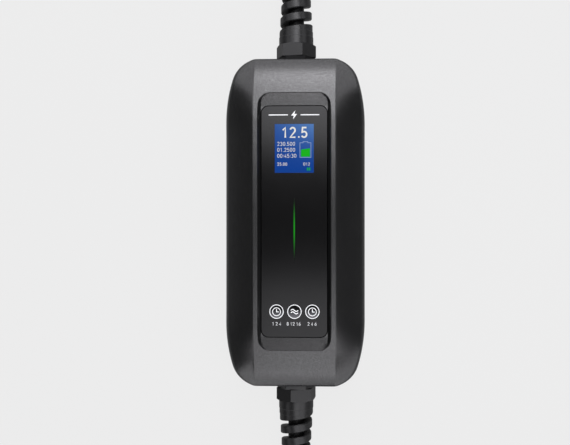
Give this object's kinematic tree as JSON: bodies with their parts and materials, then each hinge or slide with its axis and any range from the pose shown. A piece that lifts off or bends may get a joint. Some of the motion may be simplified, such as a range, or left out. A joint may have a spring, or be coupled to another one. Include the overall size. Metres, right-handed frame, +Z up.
{
  "type": "portable ev charger",
  "caption": "Portable charger for electric cars: a moulded control box with display and touch keys, spiral cable glands, a mains lead with plug and a vehicle lead with capped connector.",
  "frame": {"origin": "on the floor under the middle of the box, which lies on its flat back", "axes": "+Z up out of the front panel, +Y along the box to the mains end, +X across it"},
  "size_m": [0.1112, 1.0091, 0.1057],
  "materials": {
    "housing": "fine matt texture",
    "panel": "satin black",
    "display": "lit",
    "light": "lit",
    "gland": "moulded nylon, satin",
    "rubber": "matt",
    "cable": "satin sheath",
    "board": "solder mask",
    "component": "moulded",
    "component_colour": "coated",
    "terminal": "moulded",
    "screen_frame": "satin",
    "steel": "zinc plated",
    "brass": "nickel-free brass",
    "strap": "woven",
    "connector": "fine matt texture"
  },
  "bodies": {
    "root": {"front_shell": "housing", "rear_shell": "housing", "housing_seal": "rubber", "case_screws": "steel", "front_panel": "panel", "display_glass": "display", "display_module": "screen_frame", "display_board": "board", "display_screws": "steel", "light_guide": "light", "status_leds": "component_colour", "touch_pads": "rubber", "main_board": "board", "board_screws": "steel", "power_relays": "component", "leakage_sensor": "component_colour", "supply_module": "component", "filter_capacitor": "component_colour", "bulk_capacitor": "component_colour", "surge_arresters": "component_colour", "fuse": "component_colour", "processor": "component", "board_ribbon": "component", "supply_terminal": "terminal", "vehicle_terminal": "terminal", "supply_wires": "cable", "vehicle_wires": "cable", "supply_cord": "cable", "plug_body": "rubber", "plug_pins": "brass", "plug_earth_clips": "brass", "vehicle_cord_lead": "cable", "vehicle_cord_hank": "cable", "vehicle_cord_tail": "cable", "hank_straps": "strap", "connector_shell_left": "connector", "connector_shell_right": "connector", "connector_boot": "rubber", "connector_nose": "rubber", "connector_cap": "rubber", "connector_screws": "steel", "supply_gland_body": "gland", "supply_gland_washer": "rubber", "supply_gland_locknut": "gland", "supply_gland_seal": "rubber", "supply_dome_nut": "gland", "vehicle_gland_body": "gland", "vehicle_gland_washer": "rubber", "vehicle_gland_locknut": "gland", "vehicle_gland_seal": "rubber", "vehicle_dome_nut": "gland"}
  },
  "joints": []
}
